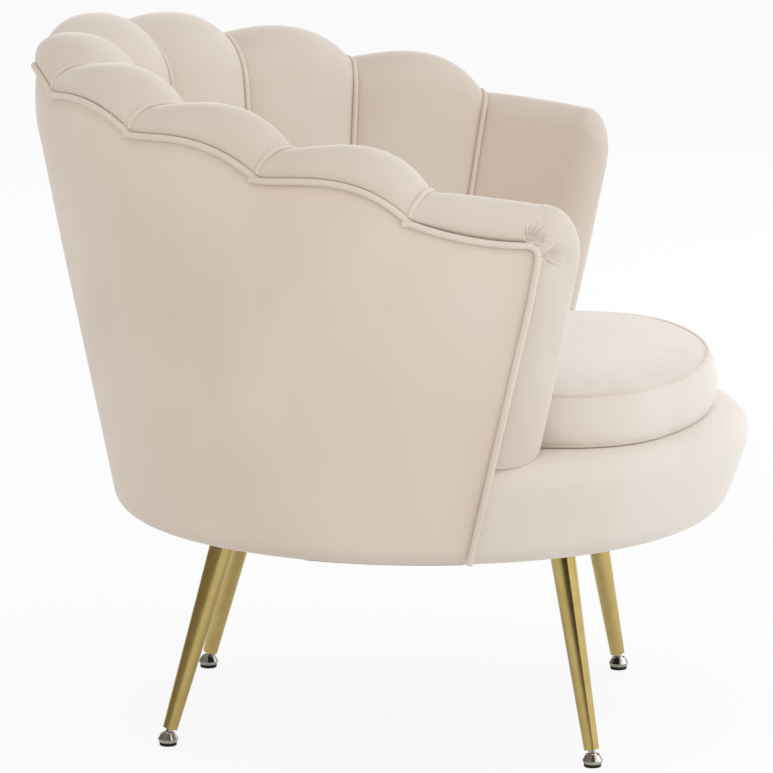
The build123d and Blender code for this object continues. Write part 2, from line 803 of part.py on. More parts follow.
upright = (Align.CENTER, Align.CENTER, Align.MIN)
for name, (ball, top) in leg_tops.items():
    axis = Plane(origin=ball, z_dir=top - ball)
    length = (top - ball).length - ball_to_leg
    taper = (leg_top_radius - leg_end_radius) / length
    spare = leg_top_radius
    top_radius = leg_top_radius + taper * spare
    nut_top_radius = leg_end_radius + taper * nut_length

    with BuildPart() as plate:
        with BuildSketch(Plane.XY.offset(plate_bottom)):
            with Locations((top.X, top.Y)):
                RectangleRounded(plate_size, plate_size, plate_corner)
                with GridLocations(screw_pitch, screw_pitch, 2, 2):
                    Circle(screw_radius + hole_gap, mode=Mode.SUBTRACT)
        extrude(amount=plate_thickness)
    plate.part.label = f"leg_plate_{name}"
    export_step(plate.part, f"parts/leg_plate_{name}.step")

    with BuildPart(axis) as leg:
        with Locations((0, 0, ball_to_leg)):
            Cone(leg_end_radius, top_radius, length + spare, align=upright)
            Cone(
                leg_end_radius - leg_wall,
                top_radius - leg_wall,
                length + spare,
                align=upright,
                mode=Mode.SUBTRACT,
            )
        split(bisect_by=Plane.XY.offset(plate_bottom), keep=Keep.BOTTOM)
    leg.part.label = f"leg_{name}"
    export_step(leg.part, f"parts/leg_{name}.step")

    with BuildPart(axis) as nut:
        with Locations((0, 0, ball_to_leg)):
            Cone(
                leg_end_radius - leg_wall - fit_gap,
                nut_top_radius - leg_wall - fit_gap,
                nut_length,
                align=upright,
            )
            Cylinder(glide_stem_radius + fit_gap, nut_length, align=upright, mode=Mode.SUBTRACT)
    nut.part.label = f"leg_nut_{name}"
    export_step(nut.part, f"parts/leg_nut_{name}.step")

    with BuildPart(axis) as stem:
        Sphere(ball_radius)
        Cylinder(glide_stem_radius, ball_to_leg + nut_length + stem_reach, align=upright)
    stem.part.label = f"glide_stem_{name}"
    export_step(stem.part, f"parts/glide_stem_{name}.step")

    with BuildPart(Plane(origin=(ball.X, ball.Y, glide_pad_height))) as cup:
        Cone(cup_foot_radius, cup_radius, cup_waist, align=upright)
        with Locations((0, 0, cup_waist)):
            Cone(cup_radius, cup_top_radius, cup_height - cup_waist, align=upright)
        with Locations((0, 0, cup_floor)):
            Cylinder(cup_bore_radius, cup_height, align=upright, mode=Mode.SUBTRACT)
    cup.part.label = f"glide_cup_{name}"
    export_step(cup.part, f"parts/glide_cup_{name}.step")

    with BuildPart(Plane(origin=(ball.X, ball.Y, 0))) as pad:
        Cylinder(glide_pad_radius, glide_pad_height, align=upright)
        fillet(pad.edges().sort_by(Axis.Z)[0], glide_pad_height / 4)
    pad.part.label = f"glide_pad_{name}"
    export_step(pad.part, f"parts/glide_pad_{name}.step")
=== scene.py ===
import json
import math
import bpy
import bmesh
import numpy as np
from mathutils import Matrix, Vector, noise

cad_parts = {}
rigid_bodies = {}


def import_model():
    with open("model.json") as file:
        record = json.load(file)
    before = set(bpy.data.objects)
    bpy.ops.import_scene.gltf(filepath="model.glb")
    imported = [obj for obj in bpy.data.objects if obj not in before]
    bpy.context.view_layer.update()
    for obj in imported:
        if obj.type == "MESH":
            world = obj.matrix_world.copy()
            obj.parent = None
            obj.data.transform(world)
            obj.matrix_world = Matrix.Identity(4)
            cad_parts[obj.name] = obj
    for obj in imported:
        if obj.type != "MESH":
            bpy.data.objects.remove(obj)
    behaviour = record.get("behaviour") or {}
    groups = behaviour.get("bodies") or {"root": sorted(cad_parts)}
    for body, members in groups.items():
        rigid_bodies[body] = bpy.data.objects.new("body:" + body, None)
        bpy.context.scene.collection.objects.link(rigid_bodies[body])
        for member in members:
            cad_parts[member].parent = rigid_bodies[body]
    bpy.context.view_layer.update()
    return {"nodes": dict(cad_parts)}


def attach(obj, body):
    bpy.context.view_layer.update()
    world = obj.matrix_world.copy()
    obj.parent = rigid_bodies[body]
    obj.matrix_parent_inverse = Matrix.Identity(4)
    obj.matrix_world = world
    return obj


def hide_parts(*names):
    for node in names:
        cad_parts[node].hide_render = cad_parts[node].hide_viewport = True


for old in list(bpy.data.objects):
    bpy.data.objects.remove(old)
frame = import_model()
nodes = frame["nodes"]
scene = bpy.context.scene

# Carcass: base board, edge hoop, deck ring and the bent back board.
# Birch plywood, glued and stapled, raw because the covers hide it.


def linear(code):
    """A colour written as sRGB hex, as the linear values that shaders take."""
    parts = [int(code[i : i + 2], 16) / 255 for i in (1, 3, 5)]
    return [p / 12.92 if p <= 0.04045 else ((p + 0.055) / 1.055) ** 2.4 for p in parts] + [1.0]


def add(tree, kind, feed=None, **settings):
    """Adds a node with its settings. feed gives its inputs: a value, or another node's output to link."""
    made = tree.nodes.new(kind)
    for key, value in settings.items():
        setattr(made, key, value)
    for socket, value in (feed or {}).items():
        if isinstance(value, bpy.types.NodeSocket):
            tree.links.new(value, made.inputs[socket])
        else:
            made.inputs[socket].default_value = value
    return made


def material(name):
    """A new material with its node tree, its shader and the object's own coordinates in metres."""
    made = bpy.data.materials.new(name)
    made.use_nodes = True
    tree = made.node_tree
    place = add(tree, "ShaderNodeTexCoord").outputs["Object"]
    return made, tree, tree.nodes["Principled BSDF"], place


def ramp(tree, value, *stops):
    """Colours along a value, from pairs of a position and a hex colour."""
    made = add(tree, "ShaderNodeValToRGB", {"Fac": value})
    band = made.color_ramp.elements
    while len(band) < len(stops):
        band.new(0.5)
    for stop, (position, code) in zip(band, stops):
        stop.position = position
        stop.color = linear(code)
    return made.outputs["Color"]


def paint(piece, finish):
    piece.data.materials.clear()
    piece.data.materials.append(finish)


# Peeled birch, sanded and left raw: pale and dull, with a long faint grain.
plywood, tree, shader, place = material("raw birch plywood")
grain_mm = (125.0, 11.0, 3.8)
grain_scale = [1000 / size for size in grain_mm]
grain_way = add(tree, "ShaderNodeMapping", {"Vector": place, "Scale": grain_scale}).outputs["Vector"]
grain = add(tree, "ShaderNodeTexNoise", {"Vector": grain_way, "Scale": 1.0, "Detail": 5.0}).outputs["Fac"]
tree.links.new(ramp(tree, grain, (0.3, "#B48B5C"), (0.7, "#D3B080")), shader.inputs["Base Color"])
shader.inputs["Roughness"].default_value = 0.72
for name in ("base_board", "base_hoop", "deck_ring", "shell_board"):
    paint(nodes[name], plywood)

# Deck: elastic webbing stretched both ways over the ring, and the black non-woven cloth stapled underneath.
# Webbing is woven of polypropylene and rubber, a fine dark check. The cloth is pressed fibre, matt and fuzzy.

webbing, tree, shader, place = material("woven elastic webbing")
thread_mm = 2.5  # drawn coarser than the real 1 mm threads, so that they show
weave = add(tree, "ShaderNodeTexChecker", {"Vector": place, "Scale": 1000 / thread_mm}).outputs["Fac"]
tree.links.new(ramp(tree, weave, (0.0, "#2E2C2A"), (1.0, "#45413D")), shader.inputs["Base Color"])
shader.inputs["Roughness"].default_value = 0.85
for name in ("webbing_lengthwise", "webbing_crosswise"):
    paint(nodes[name], webbing)

dust_cloth, tree, shader, place = material("black non-woven cloth")
fibre_mm = 3.0
fibres = add(
    tree, "ShaderNodeTexNoise", {"Vector": place, "Scale": 1000 / fibre_mm, "Detail": 4.0}
).outputs["Fac"]
tree.links.new(ramp(tree, fibres, (0.35, "#141414"), (0.75, "#2A2A29")), shader.inputs["Base Color"])
tree.links.new(
    add(tree, "ShaderNodeBump", {"Height": fibres, "Strength": 0.3, "Distance": 0.0004}).outputs["Normal"],
    shader.inputs["Normal"],
)
shader.inputs["Roughness"].default_value = 0.95
paint(nodes["dust_cover"], dust_cloth)

# Cover of the seat base: one velvet piece, tight over a padded front band with a soft rounded top edge,
# flat over the seat platform and stapled under the board. Its ends meet the arms' front edges.

UNDERSIDE, RIM, PLATFORM = 237.0, 695.0, 357.0
OVAL = {"half_width": (300.0, 372.0), "front": (362.0, 522.0), "back": (305.0, 396.0)}
FOOT_SHARE, TIP_FOOT_LEAD = 0.954, 1.6
ARM_EDGE = 109.4


def outline(level):
    """Half width, half depth and middle of the chair's oval plan at a level, in millimetres."""
    share = (np.asarray(level, float) - UNDERSIDE) / (RIM - UNDERSIDE)
    half_width, front, back = (low + share * (high - low) for low, high in OVAL.values())
    return half_width, (front + back) / 2, (back - front) / 2


def wall(angle):
    """Foot of the wall at an angle round the back in degrees, and the ways out of it and up along it."""
    angle = np.asarray(angle, float)
    turn = np.radians(angle)
    low, high = outline(UNDERSIDE), outline(RIM)
    ahead = np.maximum(0.0, np.abs(angle) - ARM_EDGE)
    foot_turn = np.radians(np.sign(angle) * (FOOT_SHARE * (np.abs(angle) - ahead) + TIP_FOOT_LEAD * ahead))

    def at(oval, level, a):
        return np.stack([oval[0] * np.sin(a), oval[2] + oval[1] * np.cos(a), np.full_like(a, level)], -1)

    foot = at(low, UNDERSIDE, foot_turn)
    up = at(high, RIM, turn) - foot
    up /= np.linalg.norm(up, axis=-1, keepdims=True)
    out = np.stack([np.sin(turn) / high[0], np.cos(turn) / high[1], np.zeros_like(turn)], -1)
    out -= up * np.sum(out * up, -1, keepdims=True)
    out /= np.linalg.norm(out, axis=-1, keepdims=True)
    return foot, out, up


def on_wall(angle, offset, height):
    """Points at offsets out of the wall and heights up along it."""
    foot, out, up = wall(angle)
    return foot + out * np.asarray(offset)[..., None] + up * np.asarray(height)[..., None]


def rise(angle, level, offset=0.0):
    """Height up along the wall at which a point with that offset is at a level."""
    _, out, up = wall(angle)
    return (level - UNDERSIDE - offset * out[..., 2]) / up[..., 2]


def mesh_piece(name, points, faces, smooth_angle=None):
    """A mesh object from points in millimetres, with doubles merged and faces turned outwards."""
    data = bpy.data.meshes.new(name)
    data.from_pydata([tuple(p) for p in np.asarray(points, float) * 0.001], [], faces)
    work = bmesh.new()
    work.from_mesh(data)
    bmesh.ops.remove_doubles(work, verts=work.verts, dist=0.00003)
    bmesh.ops.recalc_face_normals(work, faces=work.faces)
    work.to_mesh(data)
    work.free()
    data.shade_smooth()
    if smooth_angle:
        data.set_sharp_from_angle(angle=math.radians(smooth_angle))
    piece = bpy.data.objects.new(name, data)
    scene.collection.objects.link(piece)
    return piece


def grid_faces(rows, columns, closed=False, first=0):
    """Quads over a grid of points that is stored row by row. closed joins the last column to the first."""
    quads = []
    for r in range(rows - 1):
        for c in range(columns if closed else columns - 1):
            d = (c + 1) % columns
            base, above = first + r * columns, first + (r + 1) * columns
            quads.append((base + c, base + d, above + d, above + c))
    return quads


def softness(points, size_mm, depth, seed):
    """Slow unevenness of stuffed cloth: how far each point stands in or out, at most about the depth."""
    shift = Vector((seed * 7.3, seed * 3.1, seed * 5.7))
    return depth * np.array([noise.noise(Vector(p / size_mm) + shift) for p in points])


def velvet(name, shade, lit, deep):
    """Cut-pile polyester velvet: a short dense nap. Where it leans it turns a little lighter or darker in
    broad soft patches, its edges catch a pale sheen, and close by it has the fine grain of the pile."""
    made, tree, shader, place = material(name)
    patch_mm, stroke_mm = 210.0, 46.0
    pile_mm = 1.3  # drawn coarser than the real 0.3 mm pile, so that it shows
    patches = add(tree, "ShaderNodeTexNoise", {"Vector": place, "Scale": 1000 / patch_mm, "Detail": 1.0,
                                               "Roughness": 0.4, "Distortion": 0.4}).outputs["Fac"]
    brushed = add(tree, "ShaderNodeMapping", {"Vector": place, "Scale": (1.0, 1.0, 0.35)}).outputs["Vector"]
    strokes = add(tree, "ShaderNodeTexNoise", {"Vector": brushed, "Scale": 1000 / stroke_mm, "Detail": 2.0,
                                               "Roughness": 0.4}).outputs["Fac"]
    both = add(tree, "ShaderNodeMix", {"Factor": 0.2, "A": patches, "B": strokes}).outputs["Result"]
    colour = ramp(tree, both, (0.28, deep), (0.5, shade), (0.72, lit))
    tree.links.new(colour, shader.inputs["Base Color"])
    pile = add(
        tree, "ShaderNodeTexNoise", {"Vector": place, "Scale": 1000 / pile_mm, "Detail": 2.0}
    ).outputs["Fac"]
    bump = add(tree, "ShaderNodeBump", {"Height": pile, "Strength": 0.2, "Distance": 0.0004})
    tree.links.new(bump.outputs["Normal"], shader.inputs["Normal"])
    shader.inputs["Roughness"].default_value = 0.9
    shader.inputs["Specular IOR Level"].default_value = 0.2
    shader.inputs["Sheen Weight"].default_value = 0.9
    shader.inputs["Sheen Roughness"].default_value = 0.35
    shader.inputs["Sheen Tint"].default_value = linear("#FFFCF7")
    return made


# The seat pieces take a paler, cooler copy of the same velvet: painted light, standing in for the cool front
# light and the sheen that brighten them.
seat_velvet_painted_paler = velvet("beige cut-pile velvet of the seat", "#E4DBD1", "#E8E0D7", "#DED3C8")

BOTTOM_TURN, TOP_TURN, LIP, DECK_EDGE = 23.0, 36.0, 26.0, 80.0
FRONT_FULLNESS, ARM_GAP, DECK_DROP = 5.0, 1.0, 0.4
BASE_WAVE_MM, BASE_WAVE_SHARE = 170.0, 0.0035
foot_o, out_o, up_o = wall(np.array([ARM_EDGE]))
edge_normal = np.cross(out_o[0], up_o[0])
edge_normal *= -np.sign(edge_normal[1])
band = []
for t in np.linspace(0, 1, 4):
    band.append((LIP + (BOTTOM_TURN - LIP) * t, UNDERSIDE))
for t in np.linspace(0, math.pi / 2, 9)[1:]:
    band.append((BOTTOM_TURN * (1 - math.sin(t)), UNDERSIDE + BOTTOM_TURN * (1 - math.cos(t))))
for t in np.linspace(0, 1, 14)[1:]:
    band.append((0.0, UNDERSIDE + BOTTOM_TURN + t * (PLATFORM - TOP_TURN - UNDERSIDE - BOTTOM_TURN)))
for t in np.linspace(0, math.pi / 2, 13)[1:]:
    band.append((TOP_TURN * (1 - math.cos(t)), PLATFORM - TOP_TURN * (1 - math.sin(t))))
for t in np.linspace(0, 1, 5)[1:]:
    band.append((TOP_TURN + (DECK_EDGE - TOP_TURN) * t, PLATFORM))
columns = 121
base_points = []
for inset, level in band:
    a, b, m = outline(level)
    # The angle at which this level meets the arm's front edge, found by halving.
    low, high = 90.0, 125.0
    for _ in range(40):
        turn = math.radians((low + high) / 2)
        spot = np.array([(a - inset) * math.sin(turn), m + (b - inset) * math.cos(turn), level])
        if np.dot(spot - foot_o[0], edge_normal) < ARM_GAP:
            low = (low + high) / 2
        else:
            high = (low + high) / 2
    turns = np.radians(np.linspace(low, 360 - low, columns))
    share = (level - UNDERSIDE) / (PLATFORM - UNDERSIDE)
    full = FRONT_FULLNESS * math.sin(math.pi * share**0.75) * np.clip(np.linspace(0, 8, columns), 0, 1)
    full *= np.clip(np.linspace(8, 0, columns), 0, 1)
    reach = full - inset
    row = [(a + reach) * np.sin(turns), m + (b + reach) * np.cos(turns), turns * 0 + level]
    base_points += list(np.stack(row, -1))
base_faces = grid_faces(len(band), columns)
base_points = np.array(base_points)
base_points[:, 0] *= 1 + softness(base_points, BASE_WAVE_MM, BASE_WAVE_SHARE, 3)
start = len(base_points)
a, b, m = outline(PLATFORM)
deck_columns, deck_level = 160, PLATFORM - DECK_DROP
turns = np.radians(np.linspace(0, 360, deck_columns, endpoint=False))
rings = [TOP_TURN, 60.0, 110.0, 170.0, 230.0, 275.0]
deck = np.concatenate([
    np.stack([(a - inset) * np.sin(turns), m + (b - inset) * np.cos(turns), turns * 0 + deck_level], -1)
    for inset in rings
])
base_faces += grid_faces(len(rings), deck_columns, True, start)
base_faces.append([start + deck_columns * (len(rings) - 1) + i for i in range(deck_columns)])
seat_base = mesh_piece("seat_base_cover", np.concatenate([base_points, deck]), base_faces)
# The base cover takes the seat's velvet, painted paler and cooler for the light on it.
paint(seat_base, seat_velvet_painted_paler)
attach(seat_base, "chair")
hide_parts("base_cover", "front_pad", "deck_pad")

# Outside cover of the back: a plain velvet panel, drawn tight over the bent board from one arm to the other.
# Its top edge follows the scallops and curls in under the welt; its bottom edge turns under the base.

STEP = 22.5
WELT_SIDE, WELT_RISE, SCALLOP_BACK, SCALLOP_SIDE, SCALLOP_LEAN = 621.0, 103.0, 13.0, 23.0, 1.3
ARM_SAG, ARM_EDGE_RISE = 6.0, 9.0
CURL, CURL_HEIGHT = 14.0, 75.0


def swell(share):
    """Full in the middle of a span and nothing at its ends."""
    return 1 - (2 * np.clip(share, 0.0, 1.0) - 1) ** 2


def welt_level(angle, share):
    """Level of the welt: scallops between the seams of the back, and a slight sag along the arms."""
    angle, share = np.asarray(angle, float), np.asarray(share, float)
    facing = np.cos(np.radians(angle))
    scallop = SCALLOP_SIDE + (SCALLOP_BACK - SCALLOP_SIDE) * facing
    arch = scallop * swell(np.maximum(share, 0.0) ** SCALLOP_LEAN)
    sag = ARM_EDGE_RISE * np.clip(share, 0.0, 1.0) - ARM_SAG * swell(share)
    return WELT_SIDE + WELT_RISE * facing + np.where(np.abs(angle) > 4 * STEP, sag, arch)


per_channel = 44
spans = [(i * STEP, min((i + 1) * STEP, ARM_EDGE)) for i in range(5)]
cover_angles, cover_shares = [], []
for start_angle, end_angle in spans:
    share = np.linspace(0, 1, per_channel + 1)[:-1]
    cover_angles += list(start_angle + share * (end_angle - start_angle))
    cover_shares += list(share)
cover_angles.append(ARM_EDGE)
cover_shares.append(1.0)
cover_angles = np.array([-x for x in cover_angles[:0:-1]] + cover_angles)
cover_shares = np.array(cover_shares[:0:-1] + cover_shares)
tops = rise(cover_angles, welt_level(cover_angles, cover_shares))
cover_points = []
for offset in (-LIP, -22.0, -BOTTOM_TURN):
    cover_points.append(on_wall(cover_angles, tops * 0 + offset, rise(cover_angles, UNDERSIDE, offset)))
for t in np.linspace(0, math.pi / 2, 9)[1:]:
    offset = -BOTTOM_TURN * (1 - math.sin(t))
    cover_points.append(on_wall(cover_angles, tops * 0 + offset,
                                rise(cover_angles, UNDERSIDE + BOTTOM_TURN * (1 - math.cos(t)), offset)))
bottom = rise(cover_angles, UNDERSIDE + BOTTOM_TURN)
for t in 1 - np.linspace(1, 0, 56)[1:] ** 1.5:
    height = bottom + t * (tops - bottom)
    bend = np.clip((height - tops + CURL_HEIGHT) / CURL_HEIGHT, 0, 1)
    cover_points.append(on_wall(cover_angles, -CURL * bend**2, height))
rows = len(cover_points)
cover_points = np.array(cover_points)
_, out_way, _ = wall(cover_angles)
OUTSIDE_WAVE_MM, OUTSIDE_WAVE_DEPTH = 150.0, 1.6
drift = softness(cover_points.reshape(-1, 3), OUTSIDE_WAVE_MM, OUTSIDE_WAVE_DEPTH, 1).reshape(rows, -1)
from_foot, from_rim = np.arange(rows) / 14, (rows - np.arange(rows)) / 16
drift *= np.clip(from_foot, 0, 1)[:, None] * np.clip(from_rim, 0, 1)[:, None]
rim_run = np.concatenate([[0.0], np.cumsum(np.linalg.norm(np.diff(cover_points[-1], axis=0), axis=1))])
below_welt = np.linalg.norm(cover_points - cover_points[-1][None], axis=2)
PUCKER_MM, PUCKER_DEPTH, PUCKER_START, PUCKER_FADE = 6.0, 1.5, 5.0, 13.0
puckers = np.array([noise.noise(Vector((s / PUCKER_MM, 4.0, 9.0))) for s in rim_run])
puckers = PUCKER_DEPTH * np.minimum(0.0, puckers)[None] * np.exp(-below_welt / PUCKER_FADE)
puckers *= np.clip(below_welt / PUCKER_START, 0, 1)
cover_points += out_way[None] * (drift + puckers)[..., None]
outside = mesh_piece("outside_cover_velvet", cover_points.reshape(-1, 3), grid_faces(rows, len(cover_angles)))
work = bmesh.new()
work.from_mesh(outside.data)
work.faces.ensure_lookup_table()
middle_face = work.faces[len(work.faces) // 2]
if middle_face.normal.dot(middle_face.calc_center_median()) < 0:
    bmesh.ops.reverse_faces(work, faces=work.faces)
work.to_mesh(outside.data)
work.free()
shell = outside.modifiers.new("cloth and wadding", "SOLIDIFY")
shell.thickness = 0.005
shell.offset = -1.0
cover_velvet = velvet("beige cut-pile velvet of the outside", "#E0D3C5", "#E5D9CC", "#DACCBD")
paint(outside, cover_velvet)
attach(outside, "chair")
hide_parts("outside_cover")

# Padded channels of the back: velvet sewn over foam in strips that fan out from the seat. Each is drawn in at
# its seams, full between them, and rolls over the top of the board down to the welt.

SEAM_DEPTH, CROWN, FOOT_EASE = 60.0, 16.0, 6.0
ROLL_SEAM, ROLL_CROWN, ROLL_LIFT = 23.0, 29.0, 1.0
ROLL_BELLY, ROLL_HANG, CREASE_TUCK, SEAM_DRAW = 2.0, 3.0, 2.5, 2.0
PAD_BACK, LAYER_GAP, SEAT_GAP = 19.0, 0.5, 0.4
CREASE_POINTS, BACK_POINTS = 6, 27
BACK_FULLNESS, SEAM_LEAN = 46.0, 3.0


def back_depth(angle):
    """Extra depth of the padding, fullest in the middle of the back."""
    return BACK_FULLNESS * max(0.0, math.cos(math.radians(angle)))


def inside(angle, offset, height):
    """Points of the padding. Inside the rim its seams lean forward by a few degrees, except at the middle
    seam and the arms' fronts."""
    reach = np.clip((-CURL - offset) / (SEAM_DEPTH - CURL), 0, 1) ** 0.8
    fade = np.clip(np.abs(angle) / 20, 0, 1) * np.clip((ARM_EDGE - np.abs(angle)) / 14, 0, 1)
    return on_wall(angle + np.sign(angle) * SEAM_LEAN * reach * fade, offset, height)


def channel_profile(angle, share, depth, roll, lift):
    """Offsets and heights round a section of a channel: up the inside, over the roll and down the board."""
    step = rise(angle, welt_level(angle, share)) + LAYER_GAP
    level = step + lift
    top, widest = level + roll, level + ROLL_HANG
    foot_level = PLATFORM + SEAT_GAP
    depth += back_depth(angle)
    inner_level = level - back_depth(angle)
    foot_depth = depth - FOOT_EASE
    foot = rise(angle, foot_level, -foot_depth)
    section = []
    for t in np.linspace(0, 1, 54):
        section.append((-foot_depth - (depth - foot_depth) * t, foot + (inner_level - foot) * t))
    middle = -CURL - roll
    for t in np.linspace(0, math.pi / 2, 18)[1:]:
        height = inner_level + (top - inner_level) * math.sin(t)
        section.append((middle - (depth + middle) * math.cos(t), height))
    for t in np.linspace(0, math.pi / 2, 16)[1:]:
        section.append((middle + (roll + ROLL_BELLY) * math.sin(t), widest + (top - widest) * math.cos(t)))
    for t in np.linspace(0, 1, CREASE_POINTS + 1)[1:]:
        section.append((ROLL_BELLY - CURL - (ROLL_BELLY + CREASE_TUCK) * t**2, widest + (step - widest) * t))
    back = rise(angle, foot_level, -PAD_BACK)
    for t in np.linspace(0, 1, BACK_POINTS) ** 1.8:
        height = step + (back - step) * t
        bend = min(1.0, max(0.0, (height - step + CURL_HEIGHT) / CURL_HEIGHT))
        section.append((-PAD_BACK - CURL * bend**2, height))
    return np.array(section)


def joined_sections(angles, profiles, side):
    """Points and faces of a closed piece through its sections at those angles round the back."""
    count = len(profiles[0])
    points = np.concatenate([inside(np.full(count, a), p[:, 0], p[:, 1]) for a, p in zip(angles, profiles)])
    points[:, 0] *= side
    faces = grid_faces(len(angles), count, True)
    faces.append(list(range(count)))
    faces.append([len(points) - count + i for i in range(count)])
    return points, faces


channel_velvet = velvet("beige cut-pile velvet of the channels", "#DBCFC2", "#DFD5C9", "#D5C8BA")
SEAM_ROOM = 0.002
for side_name, side in (("right", 1), ("left", -1)):
    for index in range(4):
        shares = 0.5 - 0.5 * np.cos(np.linspace(0, math.pi, 37))
        inner = SEAM_ROOM + (1 - 2 * SEAM_ROOM) * shares
        angles = (index + inner) * STEP
        profiles = []
        for angle, share in zip(angles, inner):
            full = float(swell(share)) ** 0.7
            depth = SEAM_DEPTH - SEAM_DRAW + (CROWN + SEAM_DRAW) * full
            roll = ROLL_SEAM + (ROLL_CROWN - ROLL_SEAM) * full
            profiles.append(channel_profile(angle, share, depth, roll, ROLL_LIFT))
        name = f"channel_velvet_{side_name}_{index + 1}"
        points, faces = joined_sections(angles, profiles, side)
        channel = mesh_piece(name, points, faces, 50)
        paint(channel, channel_velvet)
        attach(channel, "chair")
        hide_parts(f"channel_{side_name}_{index + 1}")

# Arms: the last channel on each side, full towards the front, where its roll narrows to a rounded tip.
# The velvet is gathered into two fans of small pleats where it turns round the corner of the welt.

ARM_DEPTH, TIP_INSET, TIP_TUCK, TIP_DROP, TIP_HANG, TIP_HEEL = 70.0, 2.0, 4.0, 68.0, 9.0, 22.0
NOSE = ARM_EDGE + math.degrees(LAYER_GAP / OVAL["half_width"][1])
TIP_BELLY, TIP_BELLY_FADE = 5.0, 0.6
ARM_SEAM_ROOM, ARM_FILL_RATE = 0.003, 1.25
CORNER_TURN, CORNER_STAND, CORNER_EASE, ROUNDING = 15.0, 1.0, 4.0, 26.0
INNER_POINTS, TOP_POINT, FACE_POINTS = 53, 70, 86


def tip_profile(share, lift, tip_angle):
    """Section of an arm's rounded front, in the same order as a channel's section."""
    angle = NOSE + share * (tip_angle - NOSE)
    fall = math.sqrt(max(0.0, 1 - share**2))
    narrow = fall * 0.99 + 0.01
    full = ARM_DEPTH - TIP_INSET
    side_face = -TIP_INSET - full * (1 - narrow) / 2
    inner = side_face - full * narrow
    outer = side_face - CURL * narrow
    middle = (outer + inner) / 2
    low = side_face - TIP_TUCK * narrow
    foot_at = inner + FOOT_EASE * narrow
    step = float(rise(angle, welt_level(ARM_EDGE, 1.0))) + LAYER_GAP - TIP_DROP * (1 - fall)
    top = step + ROLL_LIFT + lift + ROLL_CROWN
    level = top - ROLL_CROWN * narrow
    belly = TIP_BELLY * max(0.0, 1 - (share / TIP_BELLY_FADE) ** 2) ** 2
    heel = TIP_HEEL * (1 - math.sqrt(max(0.0, 1 - share**4)))
    foot = float(rise(angle, PLATFORM + SEAT_GAP + heel, foot_at))
    section = []
    for t in np.linspace(0, 1, 54):
        section.append((foot_at + (inner - foot_at) * t, foot + (level - foot) * t))
    for t in np.linspace(0, math.pi / 2, 18)[1:]:
        section.append((middle - (middle - inner) * math.cos(t), level + (top - level) * math.sin(t)))
    for t in np.linspace(0, math.pi / 2, 16)[1:]:
        section.append((middle + (outer + belly - middle) * math.sin(t), step + (top - step) * math.cos(t)))
    end = float(rise(angle, PLATFORM + SEAT_GAP + heel - TIP_HANG, low))
    for t in np.linspace(0, 1, CREASE_POINTS + BACK_POINTS + 1)[1:] ** 1.8:
        height = step + (end - step) * t
        bend = min(1.0, max(0.0, (height - step + CURL_HEIGHT) / CURL_HEIGHT))
        reach = side_face + (outer + belly - side_face) * bend**2 * (3 - 2 * bend)
        section.append((reach + (low - side_face) * t**4, height))
    return angle, np.array(section)


def arm_profile(share, lift, nose):
    """Section of an arm behind its front. It runs over into the front's first section, and near the corner
    its lower edge comes down with the turn of the welt."""
    inner = ARM_SEAM_ROOM + (1 - ARM_SEAM_ROOM) * share
    angle = 4 * STEP + inner * (NOSE - 4 * STEP)
    full = min(1.0, ARM_FILL_RATE * share) ** 0.5
    depth = SEAM_DEPTH - SEAM_DRAW + (ARM_DEPTH - SEAM_DEPTH + SEAM_DRAW) * full
    roll = ROLL_SEAM + (ROLL_CROWN - ROLL_SEAM) * full
    raised = ROLL_LIFT + lift * share + ARM_SAG * float(swell(inner))
    section = channel_profile(angle, inner, depth, roll, raised)
    step = float(rise(angle, welt_level(angle, inner))) + LAYER_GAP
    nose_step = float(rise(NOSE, welt_level(ARM_EDGE, 1.0))) + LAYER_GAP
    edge = on_wall(np.array([angle, NOSE]), np.array([-CURL, -CURL]), np.array([step, nose_step]))
    gap = float(np.linalg.norm(edge[0] - edge[1]))
    near = max(0.0, 1 - gap / ROUNDING)
    near = near * near * (3 - 2 * near)
    goal = nose[:FACE_POINTS].copy()
    for first, last, low, high in (
        (0, INNER_POINTS, section[0, 1], section[INNER_POINTS, 1]),
        (INNER_POINTS, TOP_POINT, section[INNER_POINTS, 1], section[TOP_POINT, 1]),
        (TOP_POINT, FACE_POINTS - 1, section[TOP_POINT, 1], step),
    ):
        heights = nose[first : last + 1, 1]
        goal[first : last + 1, 1] = low + (heights - heights[0]) * (high - low) / (heights[-1] - heights[0])
    section[:FACE_POINTS] += near * (goal - section[:FACE_POINTS])
    hang = CORNER_TURN * max(0.0, 1 - math.sqrt(gap / CORNER_TURN)) ** 2
    tuck = -CREASE_TUCK + (CREASE_TUCK + CORNER_STAND) * min(1.0, hang / CORNER_EASE)
    low = np.array([-CURL * (1 - hang / CURL_HEIGHT) ** 2 + tuck, step - hang])
    widest = section[FACE_POINTS - 1].copy()
    for n in range(CREASE_POINTS):
        t = (n + 1) / CREASE_POINTS
        section[FACE_POINTS + n] = widest + (low - widest) * (t**2, t)
    return angle, section


PLEAT_DEPTH, PLEAT_WIDTH, PLEAT_SPREAD, PLEAT_START = 3.6, 0.9, 0.045, 5.0
GATHER_REACH = 48.0
# Each fan: how far it sits back along the welt and down from its corner in millimetres, then the direction in
# degrees and the length of each pleat.
FANS = (
    (16.0, -1.0, ((104, 17), (85, 20), (68, 24), (50, 25), (35, 24), (22, 27), (10, 25))),
    (-3.5, 13.0, ((39, 24), (25, 26), (11, 26), (0, 25), (-10, 25), (-25, 26))),
)


